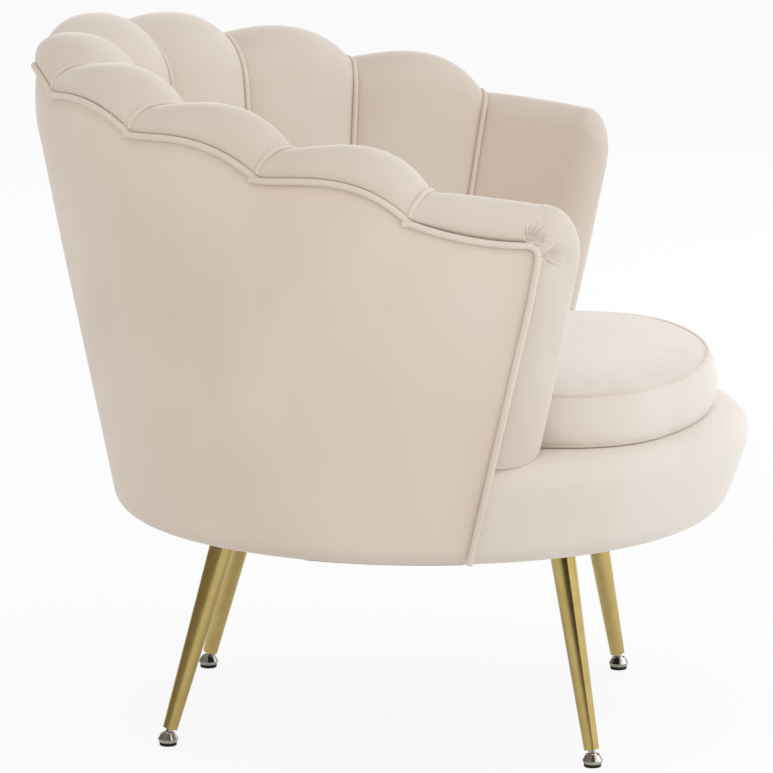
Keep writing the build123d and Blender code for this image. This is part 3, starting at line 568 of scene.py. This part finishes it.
def gather(arm, side):
    """Pleats an arm's cloth round its corner. The mesh is made fine there and drawn in along each pleat."""
    angle = np.array([ARM_EDGE])
    _, out, up = (v[0] for v in wall(angle))
    ahead = np.cross(up, out)
    ahead *= -np.sign(ahead[1])
    corner = on_wall(angle, np.array([-CURL]), rise(angle, welt_level(angle, 1.0)))[0]
    mirror = np.array([side, 1, 1])
    corner, out, up, ahead = corner * mirror, out * mirror, up * mirror, ahead * mirror
    work = bmesh.new()
    work.from_mesh(arm.data)
    near = [e for e in work.edges if np.linalg.norm(np.array(e.verts[0].co) * 1000 - corner) < GATHER_REACH]
    bmesh.ops.subdivide_edges(work, edges=near, cuts=2, use_grid_fill=True, smooth=0.0)
    work.normal_update()
    for vert in work.verts:
        away = np.array(vert.co) * 1000 - corner
        facing = np.array(vert.normal)
        if np.linalg.norm(away) > GATHER_REACH or facing @ out < -0.3:
            continue
        depth = 0.0
        for back, down, pleats in FANS:
            spot = away + ahead * back + up * down
            across_way, up_way = spot @ ahead, spot @ up
            for turn, length in pleats:
                t = math.radians(turn)
                along = across_way * math.cos(t) + up_way * math.sin(t)
                if not 0 < along < length:
                    continue
                width = PLEAT_WIDTH + PLEAT_SPREAD * along
                aside = ((up_way * math.cos(t) - across_way * math.sin(t)) / width) ** 2
                fade = min(1.0, along / PLEAT_START) * (1 - along / length) ** 0.6
                depth += fade * (1 - aside) * math.exp(-aside / 1.4)
        vert.co -= Vector(facing * PLEAT_DEPTH * depth * 0.001)
    work.to_mesh(arm.data)
    work.free()


# Stuffed by hand, the two arms differ a little: the left one is lower and reaches further forward.
for side_name, side, lift, tip_angle in (("right", 1, 7.0, 114.8), ("left", -1, 2.0, 116.4)):
    sections = []
    _, nose = tip_profile(0.0, lift, tip_angle)
    for share in 1 - np.linspace(1, 0, 76) ** 1.5:
        sections.append(arm_profile(float(share), lift, nose))
    for share in np.sin(np.linspace(0, math.pi / 2, 30)):
        sections.append(tip_profile(float(share), lift, tip_angle))
    angles, profiles = zip(*sections)
    name = f"arm_velvet_{side_name}"
    points, faces = joined_sections(np.array(angles), profiles, side)
    arm = mesh_piece(name, points, faces, 50)
    gather(arm, side)
    paint(arm, channel_velvet)
    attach(arm, "chair")
    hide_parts(f"channel_{side_name}_5")

# Piping: a cord in a bias strip of the same velvet, sewn into every seam of the channels and along the rim.
# The rim's welt runs over the scallops, turns the corner at each arm and goes down its front to the base.

CHANNEL_CORD, RIM_CORD, CUSHION_CORD = 2.8, 3.6, 2.2
CORD_STEP_MM, SEAM_STAND, RIM_STAND, RIM_FOOT = 3.0, 2.4, 0.6, 6.0
piping_velvet = velvet("beige cut-pile velvet piping", "#E0D4C7", "#E5DACE", "#DACDBF")

cord_tree = bpy.data.node_groups.new("cord along a seam", "GeometryNodeTree")
cord_tree.interface.new_socket("Seam", in_out="INPUT", socket_type="NodeSocketGeometry")
radius_socket = cord_tree.interface.new_socket("Cord radius", in_out="INPUT", socket_type="NodeSocketFloat")
pitch_socket = cord_tree.interface.new_socket("Point spacing", in_out="INPUT", socket_type="NodeSocketFloat")
finish_socket = cord_tree.interface.new_socket("Finish", in_out="INPUT", socket_type="NodeSocketMaterial")
cord_tree.interface.new_socket("Cord", in_out="OUTPUT", socket_type="NodeSocketGeometry")
given = add(cord_tree, "NodeGroupInput")
line = add(cord_tree, "GeometryNodeMeshToCurve", {"Mesh": given.outputs["Seam"]})
even = add(cord_tree, "GeometryNodeResampleCurve", {
    "Curve": line.outputs["Curve"], "Length": given.outputs["Point spacing"],
}, mode="LENGTH")
ring = add(cord_tree, "GeometryNodeCurvePrimitiveCircle", {
    "Resolution": 12, "Radius": given.outputs["Cord radius"],
})
tube = add(cord_tree, "GeometryNodeCurveToMesh", {
    "Curve": even.outputs["Curve"], "Profile Curve": ring.outputs["Curve"], "Fill Caps": True,
})
plain = add(cord_tree, "GeometryNodeRealizeInstances", {"Geometry": tube.outputs["Mesh"]})
dressed = add(cord_tree, "GeometryNodeSetMaterial", {"Geometry": plain.outputs["Geometry"],
                                                     "Material": given.outputs["Finish"]})
add(cord_tree, "NodeGroupOutput", {"Cord": dressed.outputs["Geometry"]})


def cord_piece(name, paths, radius_mm, closed=False):
    """A cord of that radius along each path, as one plain mesh."""
    points, edges = [], []
    for path in paths:
        first = len(points)
        points += [tuple(p) for p in np.asarray(path) * 0.001]
        edges += [(first + i, first + i + 1) for i in range(len(path) - 1)]
        if closed:
            edges.append((len(points) - 1, first))
    data = bpy.data.meshes.new(name + "_seam")
    data.from_pydata(points, edges, [])
    seam = bpy.data.objects.new(name + "_seam", data)
    scene.collection.objects.link(seam)
    sew = seam.modifiers.new("cord", "NODES")
    sew.node_group = cord_tree
    sew[radius_socket.identifier] = radius_mm * 0.001
    sew[pitch_socket.identifier] = CORD_STEP_MM * 0.001
    sew[finish_socket.identifier] = piping_velvet
    made = bpy.data.meshes.new_from_object(seam.evaluated_get(bpy.context.evaluated_depsgraph_get()))
    bpy.data.objects.remove(seam)
    made.name = name
    made.shade_smooth()
    piece = bpy.data.objects.new(name, made)
    scene.collection.objects.link(piece)
    return piece


seam_paths = []
for number in range(-4, 5):
    angle = number * STEP
    level = float(rise(angle, welt_level(angle, 0.0))) + LAYER_GAP + ROLL_LIFT
    depth = SEAM_DEPTH + back_depth(angle)
    inner_level = level - back_depth(angle)
    foot_depth = depth - FOOT_EASE
    foot = float(rise(angle, PLATFORM + SEAT_GAP + CHANNEL_CORD, -foot_depth))
    middle, ring_radius = -(CURL + SEAM_DEPTH) / 2, (SEAM_DEPTH - CURL) / 2 + SEAM_STAND
    wide = ring_radius + back_depth(angle)
    path = [(-foot_depth - SEAM_STAND - FOOT_EASE * t, foot + (inner_level - foot) * t)
            for t in np.linspace(0, 1, 40)]
    path += [(middle - wide * math.cos(t), inner_level + wide * math.sin(t))
             for t in np.linspace(0, math.pi / 2, 30)[1:]]
    path += [(middle + ring_radius * math.sin(t), level + ring_radius * math.cos(t))
             for t in np.linspace(0, math.pi * 0.44, 20)[1:]]
    path = np.array(path)
    seam_paths.append(inside(np.full(len(path), float(angle)), path[:, 0], path[:, 1]))
seam_piping = cord_piece("channel_seam_piping", seam_paths, CHANNEL_CORD)
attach(seam_piping, "chair")
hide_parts("channel_piping")

stand = RIM_CORD + RIM_STAND
lap_share, tuck, tuck_from = 0.05, 3.0, 0.93
rim_runs = []
for number, (start_angle, end_angle) in enumerate(spans):
    share = np.linspace(-lap_share if number else 0.0, 1, 42)
    angle = start_angle + share * (end_angle - start_angle)
    beyond_seam = np.maximum(angle, start_angle + 1e-6)
    level = np.where(share < 0, welt_level(start_angle, 0.0), welt_level(beyond_seam, share))
    under = tuck * np.clip((share - tuck_from) / (1 - tuck_from), 0, 1) if number < 4 else 0.0
    rim_runs.append(on_wall(angle, angle * 0 + stand - CURL - under, rise(angle, level)))
arm_top = float(rise(ARM_EDGE, welt_level(ARM_EDGE, 1.0)))
arm_foot = float(rise(ARM_EDGE, UNDERSIDE + RIM_FOOT))
down = np.linspace(arm_top, arm_foot, 110)
bend = np.clip((down - arm_top + CURL_HEIGHT) / CURL_HEIGHT, 0, 1)
edge_run = on_wall(np.full(110, ARM_EDGE), stand - CURL * bend**2, down)
corner = edge_run[0]
before = rim_runs[4][np.linalg.norm(rim_runs[4] - corner, axis=1) > CORNER_TURN]
after = edge_run[np.linalg.norm(edge_run - corner, axis=1) > CORNER_TURN]
turned = [(1 - t) ** 2 * before[-1] + 2 * t * (1 - t) * corner + t**2 * after[0]
          for t in np.linspace(0, 1, 14)[1:-1]]
rim_runs[4] = np.concatenate([before, turned, after])
rim_runs += [run * np.array([-1, 1, 1]) for run in rim_runs]
rim_piping = cord_piece("rim_piping", rim_runs, RIM_CORD)
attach(rim_piping, "chair")
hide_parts("rim_welt")

# Loose seat cushion: a foam core in a velvet box cover, with a crowned top, a full side band and piping
# round both seams. A zip closes it across the back. It lies on the platform and lifts straight off.

CUSHION = {"half_width": 233.0, "front": 357.0, "back": 196.0, "side_start": 82.0, "front_radius": 330.0,
           "corner_radius": 130.0, "back_radius": 218.0}
CUSHION_HEIGHT, CUSHION_LEAN, CUSHION_CROWN = 57.0, 6.0, 12.0
BAND_FOOT, BAND_STAND, BAND_BULGE, FLAT_EDGE, CROWN_RUN = 7.0, 1.0, 6.0, 90.0, 100.0
CUSHION_BOTTOM = PLATFORM + SEAT_GAP
CUSHION_SEAM = CUSHION_BOTTOM + CUSHION_HEIGHT


def cushion_outline(inset):
    """The cushion's plan, drawn in by an inset: arcs and a straight side from front to back, mirrored."""
    c = CUSHION
    front_y = c["front_radius"] - c["front"]
    corner = np.array([c["half_width"] - c["corner_radius"], 0.0])
    corner[1] = front_y - math.sqrt((c["front_radius"] - c["corner_radius"]) ** 2 - corner[0] ** 2)
    back_y = c["back"] - c["back_radius"]
    lift = back_y + c["side_start"]
    flattening = c["half_width"] - c["back_radius"]
    side_radius = (c["half_width"] ** 2 + lift**2 - c["back_radius"] ** 2) / (2 * flattening)
    side = np.array([c["half_width"] - side_radius, -c["side_start"]])
    front_turn = math.atan2(corner[0], front_y - corner[1])
    back_turn = math.atan2(back_y - side[1], -side[0])

    def arc(centre, radius, turns):
        return [(centre[0] + radius * math.sin(t), centre[1] - radius * math.cos(t)) for t in turns]

    half = arc((0.0, front_y), c["front_radius"] - inset, np.linspace(0, front_turn, 22))
    half += arc(corner, c["corner_radius"] - inset, np.linspace(front_turn, math.pi / 2, 26)[1:])
    x = c["half_width"] - inset
    half += [(x, y) for y in np.linspace(corner[1], -c["side_start"], 16)[1:]]
    back_start = math.pi / 2 + back_turn
    half += arc(side, side_radius - inset, np.linspace(math.pi / 2, back_start, 8)[1:])
    half += arc((0.0, back_y), c["back_radius"] - inset, np.linspace(back_start, math.pi, 36)[1:])
    half = np.array(half)
    return np.concatenate([half, half[-2:0:-1] * np.array([-1, 1])])


cushion_rings = []
centre = np.array([0.0, -40.0])
for scale in (0.05, 0.3, 0.55, 0.8):
    cushion_rings.append((centre + (cushion_outline(FLAT_EDGE) - centre) * scale, CUSHION_BOTTOM))
for inset in (FLAT_EDGE, 60.0, 35.0, 16.0, 6.0, 1.5):
    cushion_rings.append((cushion_outline(inset), CUSHION_BOTTOM))
side_bottom = CUSHION_BOTTOM + BAND_FOOT
for t in np.linspace(0, 1, 20):
    inset = CUSHION_LEAN * t - BAND_STAND - BAND_BULGE * math.sin(math.pi * t) ** 0.6
    cushion_rings.append((cushion_outline(inset), side_bottom + t * (CUSHION_SEAM - side_bottom)))
for x in np.linspace(0, 1, 26)[1:]:
    inset = CUSHION_LEAN - BAND_STAND + CROWN_RUN * x**1.3
    lift = CUSHION_CROWN * (1 - (1 - x) ** 2.4)
    cushion_rings.append((cushion_outline(inset), CUSHION_SEAM + lift))
last_ring, last_level = cushion_rings[-1]
for scale in (0.85, 0.7, 0.55, 0.4, 0.25, 0.1, 0.02):
    cushion_rings.append((centre + (last_ring - centre) * scale, last_level + 1.0 * (1 - scale)))
around = len(cushion_rings[0][0])
points = np.concatenate([np.concatenate([r, np.full((around, 1), z)], 1) for r, z in cushion_rings])
faces = grid_faces(len(cushion_rings), around, True)
faces.append(list(range(around)))
faces.append([len(points) - around + i for i in range(around)])
pattern = mesh_piece("cushion_pattern", points, faces)

VOXEL_MM, SEAM_HOLD, SWELL_CAP = 6.0, 5.0, 9.0
even_mesh = pattern.modifiers.new("even mesh", "REMESH")
even_mesh.mode = "VOXEL"
even_mesh.voxel_size = VOXEL_MM * 0.001
eased = pattern.modifiers.new("eased edges", "SMOOTH")
eased.factor, eased.iterations = 0.5, 6
sewn = bpy.data.meshes.new_from_object(pattern.evaluated_get(bpy.context.evaluated_depsgraph_get()))
bpy.data.objects.remove(pattern)
sewn.name = "seat_cushion_velvet"
cushion = bpy.data.objects.new("seat_cushion_velvet", sewn)
scene.collection.objects.link(cushion)
sewn_at = np.empty(len(sewn.vertices) * 3)
sewn.vertices.foreach_get("co", sewn_at)
sewn_at = sewn_at.reshape(-1, 3)
top_seam = cushion_outline(CUSHION_LEAN + 1.0) * 0.001
seam_at = np.concatenate([top_seam, np.full((len(top_seam), 1), CUSHION_SEAM * 0.001)], 1)
from_seam = np.min(np.linalg.norm(sewn_at[:, None] - seam_at[None], axis=2), axis=1)
held = (from_seam < SEAM_HOLD * 0.001) | (sewn_at[:, 2] < (CUSHION_BOTTOM + 3.0) * 0.001)
seams = cushion.vertex_groups.new(name="held seams")
seams.add([int(i) for i in np.flatnonzero(held)], 1.0, "REPLACE")
cloth = cushion.modifiers.new("stuffed velvet", "CLOTH")
cloth.settings.use_pressure = True
cloth.settings.uniform_pressure_force = 4.0
cloth.settings.effector_weights.gravity = 0.0
cloth.settings.vertex_group_mass = "held seams"
cloth.point_cache.frame_start = 1
cloth.point_cache.frame_end = 20
for number in range(1, 21):
    scene.frame_set(number)
stuffed = cushion.evaluated_get(bpy.context.evaluated_depsgraph_get()).data
stuffed_at = np.empty(len(stuffed.vertices) * 3)
stuffed.vertices.foreach_get("co", stuffed_at)
moved = stuffed_at.reshape(-1, 3) - sewn_at
far = np.linalg.norm(moved, axis=1, keepdims=True)
moved *= np.minimum(1.0, SWELL_CAP * 0.001 / np.maximum(far, 1e-9))
cushion.modifiers.remove(cloth)
scene.frame_set(1)
sewn.vertices.foreach_set("co", (sewn_at + moved).ravel())
sewn.update()
sewn.shade_smooth()
fine = cushion.modifiers.new("smooth cloth", "SUBSURF")
fine.levels = fine.render_levels = 1
# The cushion takes the seat's velvet, painted paler and cooler for the light on it.
paint(cushion, seat_velvet_painted_paler)
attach(cushion, "seat_cushion")
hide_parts("cushion_top", "cushion_side", "cushion_bottom", "cushion_foam")

for name, node, inset, level, cord in (
    ("cushion_top_piping", "cushion_top_welt", CUSHION_LEAN + 0.8, CUSHION_SEAM, CUSHION_CORD),
    ("cushion_bottom_piping", "cushion_bottom_welt", 4.0, CUSHION_BOTTOM + CUSHION_CORD + 0.2, CUSHION_CORD),
):
    path = cushion_outline(inset)
    piping = cord_piece(name, [np.concatenate([path, np.full((len(path), 1), level)], 1)], cord, True)
    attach(piping, "seat_cushion")
    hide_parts(node)

# Woven tape with moulded teeth: fine pale bars across a dull strip.
zip_tape, tree, shader, place = material("woven zip tape with nylon teeth")
tooth_mm = 5.0  # drawn coarser than the real 2.5 mm teeth, so that they show
wave_radians = 20.0  # the wave texture turns by this much over one unit
teeth_scale = 1000 / tooth_mm * 2 * math.pi / wave_radians
teeth_way = add(tree, "ShaderNodeMapping", {"Vector": place, "Scale": (teeth_scale, 0.0, 0.0)})
teeth = add(
    tree, "ShaderNodeTexWave", {"Vector": teeth_way.outputs["Vector"], "Scale": 1.0}, bands_direction="X"
).outputs["Fac"]
tree.links.new(ramp(tree, teeth, (0.3, "#B9AA98"), (0.7, "#D3C6B6")), shader.inputs["Base Color"])
shader.inputs["Roughness"].default_value = 0.7
paint(nodes["cushion_zip"], zip_tape)


def mottled(name, dark, light, spot_mm, detail, roughness, metallic=0.0):
    """A material that wavers between two shades in spots of that size, its tree, its shader and the spots."""
    made, tree, shader, place = material(name)
    spots = add(
        tree, "ShaderNodeTexNoise", {"Vector": place, "Scale": 1000 / spot_mm, "Detail": detail}
    ).outputs["Fac"]
    tree.links.new(ramp(tree, spots, (0.3, dark), (0.7, light)), shader.inputs["Base Color"])
    shader.inputs["Roughness"].default_value = roughness
    shader.inputs["Metallic"].default_value = metallic
    return made, tree, shader, spots


# Cast zinc, plated: a soft grey shine, a little clouded by handling.
plated_zinc, *_ = mottled("plated zinc zip pull", "#9C9790", "#BDB8B0", 1.1, 3.0, 0.35, metallic=1.0)
paint(nodes["zip_pull"], plated_zinc)

# Legs: tapered steel tubes with polished brass-coloured plating, welded to square black plates. Each plate is
# held up to the base board by four screws, and a nylon insert in the tube's end takes the glide's thread.

# Plated and buffed along the tube: a warm yellow mirror, faintly clouded and streaked lengthwise.
brass, tree, shader, place = material("polished brass plating on steel")
cloud_mm = 16.7
polish = add(
    tree, "ShaderNodeTexNoise", {"Vector": place, "Scale": 1000 / cloud_mm, "Detail": 4.0}
).outputs["Fac"]
tree.links.new(ramp(tree, polish, (0.3, "#C4AC6A"), (0.7, "#CDB678")), shader.inputs["Base Color"])
streak_mm = (1.1, 1.1, 83.0)
streak_scale = [1000 / size for size in streak_mm]
buffed_way = add(tree, "ShaderNodeMapping", {"Vector": place, "Scale": streak_scale}).outputs["Vector"]
buffed = add(tree, "ShaderNodeTexNoise", {"Vector": buffed_way, "Scale": 1.0, "Detail": 3.0}).outputs["Fac"]
rough = add(tree, "ShaderNodeMapRange", {"Value": buffed, "To Min": 0.14, "To Max": 0.24}).outputs["Result"]
tree.links.new(rough, shader.inputs["Roughness"])
shader.inputs["Metallic"].default_value = 1.0

# Plated and blackened: nearly black, half bright and slightly mottled.
black_zinc, *_ = mottled("black zinc plating", "#1B1B1C", "#2C2C2D", 3.3, 3.0, 0.45, metallic=0.8)
paint(nodes["plate_screws"], black_zinc)

# Injection moulded: a black satin with faint flow marks.
nylon, *_ = mottled("moulded black nylon", "#161616", "#222222", 2.5, 2.0, 0.5)

# Levelling glides: a threaded stem with its ball end in a turned nickel cup, on a hard black rubber pad.
# Each is screwed into the insert in a leg's end.

# Plated on turned steel: a bright grey mirror, slightly clouded.
nickel, *_ = mottled("bright nickel plating", "#A9A39A", "#C9C4BB", 2.0, 3.0, 0.2, metallic=1.0)

# Moulded: black and dull, with a fine grit.
pad_rubber, tree, shader, grit = mottled("hard black rubber", "#131313", "#232323", 0.83, 2.0, 0.8)
tree.links.new(
    add(tree, "ShaderNodeBump", {"Height": grit, "Strength": 0.2, "Distance": 0.0002}).outputs["Normal"],
    shader.inputs["Normal"],
)

for end in ("front", "back"):
    for side_name in ("right", "left"):
        where = f"{end}_{side_name}"
        paint(nodes[f"leg_{where}"], brass)
        paint(nodes[f"leg_plate_{where}"], black_zinc)
        paint(nodes[f"leg_nut_{where}"], nylon)
        paint(nodes[f"glide_stem_{where}"], nickel)
        paint(nodes[f"glide_cup_{where}"], nickel)
        paint(nodes[f"glide_pad_{where}"], pad_rubber)

# Studio: a white floor, soft light from large panels, and the camera at the photograph's place.
# Curved screens that only polished metal sees give the legs their dark and bright bands.

floor_paint = bpy.data.materials.new("white studio floor")
floor_paint.use_nodes = True
tree = floor_paint.node_tree
shader = tree.nodes["Principled BSDF"]
shader.inputs["Base Color"].default_value = linear("#F4F4F3")
shader.inputs["Roughness"].default_value = 0.9
rays = add(tree, "ShaderNodeLightPath")
seen = add(tree, "ShaderNodeMath", {0: rays.outputs["Is Camera Ray"], 1: rays.outputs["Is Transmission Ray"]},
           operation="MAXIMUM")
seen = add(tree, "ShaderNodeMath", {0: seen.outputs[0], 1: 0.88}, operation="MULTIPLY")
mirrored = add(tree, "ShaderNodeMath", {0: rays.outputs["Is Glossy Ray"], 1: 0.2}, operation="MULTIPLY")
share = add(tree, "ShaderNodeMath", {0: seen.outputs[0], 1: mirrored.outputs[0]}, operation="MAXIMUM")
glow = add(tree, "ShaderNodeEmission", {"Color": linear("#FFFFFF"), "Strength": 1.0})
mixed = add(tree, "ShaderNodeMixShader", {
    0: share.outputs[0], 1: shader.outputs["BSDF"], 2: glow.outputs["Emission"],
})
tree.links.new(mixed.outputs["Shader"], tree.nodes["Material Output"].inputs["Surface"])
floor_data = bpy.data.meshes.new("studio_floor")
reach = 40.0
corners = [(-reach, -reach, 0), (reach, -reach, 0), (reach, reach, 0), (-reach, reach, 0)]
floor_data.from_pydata(corners, [], [(0, 1, 2, 3)])
floor = bpy.data.objects.new("studio_floor", floor_data)
scene.collection.objects.link(floor)
floor.data.materials.append(floor_paint)

world = bpy.data.worlds.new("studio")
scene.world = world
world.use_nodes = True
tree = world.node_tree
rays = add(tree, "ShaderNodeLightPath")
seen = add(tree, "ShaderNodeMath", {0: rays.outputs["Is Camera Ray"], 1: rays.outputs["Is Glossy Ray"]},
           operation="MAXIMUM")
seen = add(tree, "ShaderNodeMath", {0: seen.outputs[0], 1: rays.outputs["Is Transmission Ray"]},
           operation="MAXIMUM")
strength = add(tree, "ShaderNodeMapRange", {"Value": seen.outputs[0], "To Min": 0.68, "To Max": 1.0})
sky = tree.nodes["Background"]
sky.inputs["Color"].default_value = linear("#FFFFFF")
tree.links.new(strength.outputs["Result"], sky.inputs["Strength"])


def panel(name, spot, aim, size, watts, tint):
    lamp = bpy.data.lights.new(name, "AREA")
    lamp.shape = "SQUARE"
    lamp.size = size
    lamp.energy = watts
    lamp.color = linear(tint)[:3]
    holder = bpy.data.objects.new(name, lamp)
    holder.location = spot
    holder.rotation_mode = "QUATERNION"
    holder.rotation_quaternion = (Vector(aim) - Vector(spot)).to_track_quat("-Z", "Y")
    scene.collection.objects.link(holder)


panel("front panel", (0.2, -3.0, 1.5), (0, 0, 0.45), 2.0, 27, "#E2F0FF")
panel("panel beside the camera, to the front", (-2.2, -2.0, 1.4), (0, 0, 0.45), 2.0, 10, "#FFF1EC")
panel("panel beside the camera, to the back", (-2.0, 2.3, 1.6), (0, 0, 0.45), 2.0, 9, "#FFEBDC")
panel("high panel above the camera", (-2.2, -0.4, 2.9), (0.3, 0, 0.55), 1.6, 9, "#FFF0E8")
panel("far side panel", (2.8, -1.2, 1.8), (0, 0, 0.45), 2.0, 24, "#FFFFFF")


def screen(name, first, last, grey):
    """A curved screen round the chair between two azimuths in degrees, seen by glossy rays alone."""
    turns = np.radians(np.linspace(first, last, 13))
    radius, height = 2.4, 2.6
    ring = np.stack([radius * np.sin(turns), -radius * np.cos(turns)], -1)
    points = [(x, y, z) for z in (0.0, height) for x, y in ring]
    data = bpy.data.meshes.new(name)
    data.from_pydata(points, [], grid_faces(2, len(ring)))
    paper = bpy.data.materials.new(name + " paper")
    paper.use_nodes = True
    tree = paper.node_tree
    dull = add(tree, "ShaderNodeEmission", {"Color": linear(grey), "Strength": 1.0})
    tree.links.new(dull.outputs["Emission"], tree.nodes["Material Output"].inputs["Surface"])
    data.materials.append(paper)
    made = bpy.data.objects.new(name, data)
    scene.collection.objects.link(made)
    for ray in ("camera", "diffuse", "transmission", "volume_scatter", "shadow"):
        setattr(made, "visible_" + ray, False)


screen("dark screen beside the front", 258, 312, "#20180E")
screen("narrow dark screen behind", 66, 84, "#20180E")
screen("grey screen behind the back", 128, 256, "#8A8378")

AZIMUTH, ELEVATION, DISTANCE, FOCAL_PX = 275.9, 12.095, 7.0, 6297.5
AIM = Vector((0.0, 0.006, 0.372))
PHOTO_PX, SENSOR_MM = 773, 36.0
camera = bpy.data.cameras.new("camera")
camera.sensor_width = SENSOR_MM
camera.lens = FOCAL_PX / PHOTO_PX * SENSOR_MM
holder = bpy.data.objects.new("camera", camera)
scene.collection.objects.link(holder)
a, e = math.radians(AZIMUTH), math.radians(ELEVATION)
back_way = Vector((math.sin(a) * math.cos(e), -math.cos(a) * math.cos(e), math.sin(e)))
holder.location = AIM + back_way * DISTANCE
holder.rotation_mode = "QUATERNION"
holder.rotation_quaternion = (-back_way).to_track_quat("-Z", "Y")
scene.camera = holder
scene.view_settings.view_transform = "Standard"
